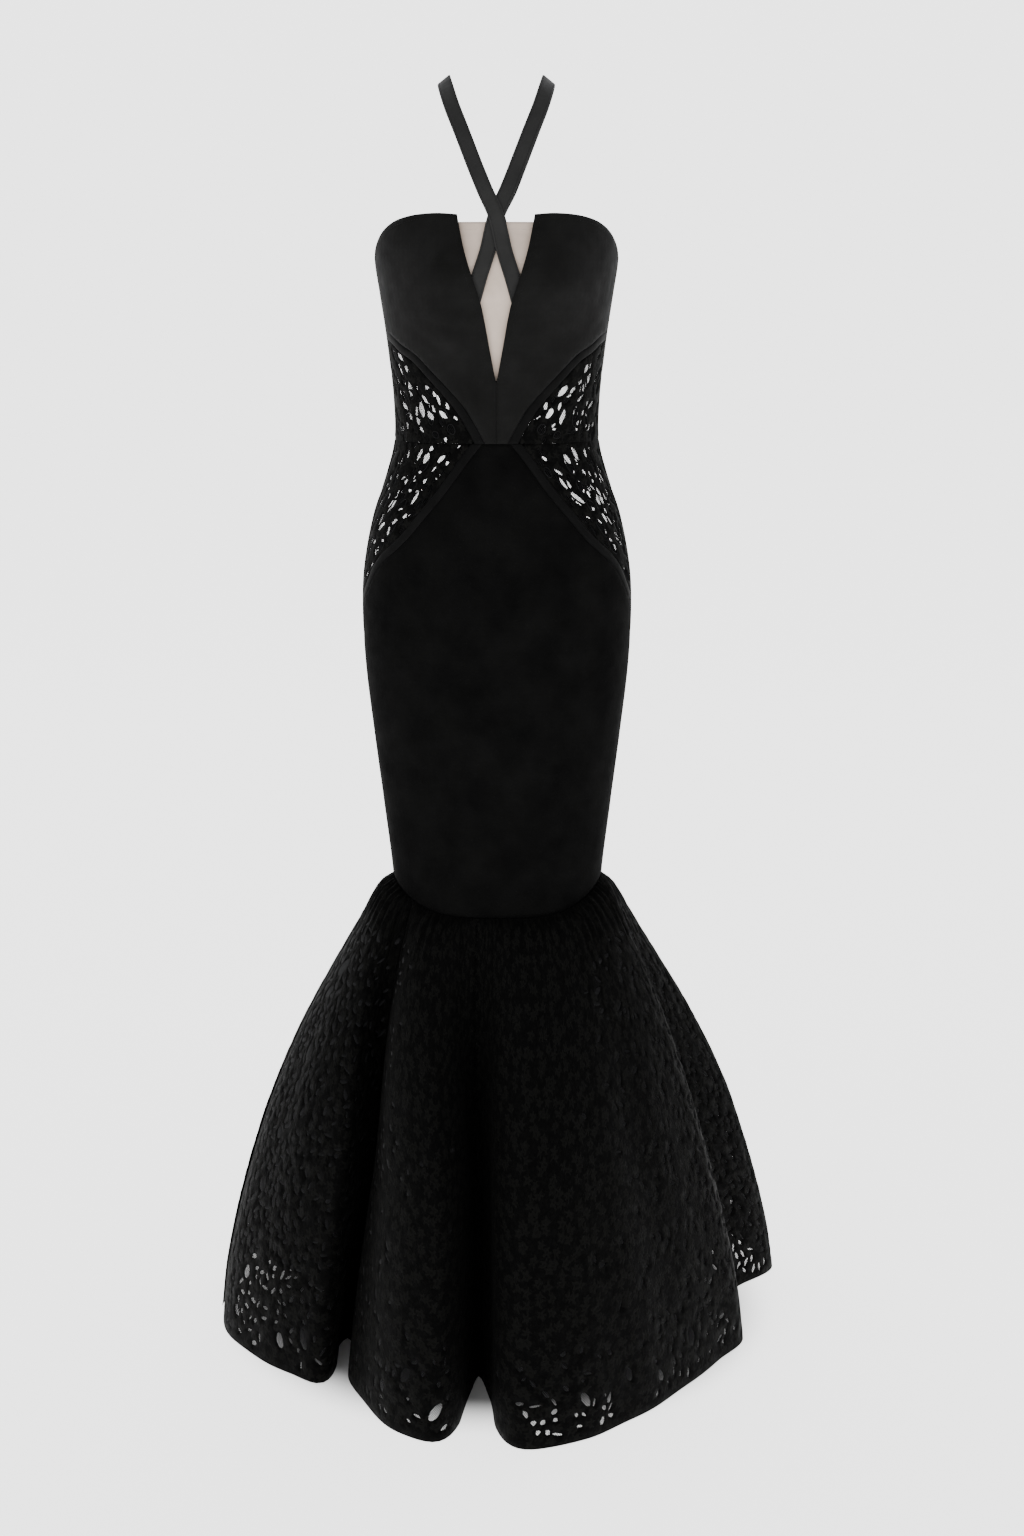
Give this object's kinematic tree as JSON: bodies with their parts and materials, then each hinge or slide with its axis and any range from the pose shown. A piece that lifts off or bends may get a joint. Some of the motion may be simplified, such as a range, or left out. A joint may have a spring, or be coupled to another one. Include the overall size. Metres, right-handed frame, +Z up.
{
  "type": "mermaid gown",
  "caption": "Floor-length black mermaid gown in worn, hollow form: strapless bodice with crossed straps, deep V over nude mesh, lace waist insets, narrow skirt and folded lace flare.",
  "frame": {"origin": "midway between the tops of the two straps, where the wearer's shoulders hold the gown", "axes": "+Z up, -Y to the wearer's front, +X to the wearer's left"},
  "size_m": [0.7207, 0.763, 1.5166],
  "materials": {
    "knit": "matte heavy stretch knit",
    "lace": "corded floral lace",
    "band": "smooth flat tape with a slight sheen",
    "mesh": "fine nude power mesh",
    "lining": "matte woven lining"
  },
  "bodies": {
    "root": {"bodice_front_r": "knit", "band_upper_front_r": "band", "band_lower_front_r": "band", "lace_upper_front_r": "lace", "lace_lower_front_r": "lace", "bodice_front_l": "knit", "band_upper_front_l": "band", "band_lower_front_l": "band", "lace_upper_front_l": "lace", "lace_lower_front_l": "lace", "bodice_back_r": "knit", "band_upper_back_r": "band", "band_lower_back_r": "band", "lace_upper_back_r": "lace", "lace_lower_back_r": "lace", "bodice_back_l": "knit", "band_upper_back_l": "band", "band_lower_back_l": "band", "lace_upper_back_l": "lace", "lace_lower_back_l": "lace", "skirt_front": "knit", "skirt_back_l": "knit", "skirt_back_r": "knit", "side_upper_l": "knit", "side_lower_l": "knit", "side_upper_r": "knit", "side_lower_r": "knit", "strap_from_right_cup": "knit", "strap_from_left_cup": "knit", "modesty_mesh": "mesh", "flare_lace_front_l_side": "lace", "flare_lining_front_l_side": "lining", "flare_lace_front_l": "lace", "flare_lining_front_l": "lining", "flare_lace_front_r": "lace", "flare_lining_front_r": "lining", "flare_lace_back_r_side": "lace", "flare_lining_back_r_side": "lining", "flare_lace_back_r": "lace", "flare_lining_back_r": "lining", "flare_lace_back_l": "lace", "flare_lining_back_l": "lining", "flare_lace_back_l_side": "lace", "flare_lining_back_l_side": "lining"}
  },
  "joints": []
}
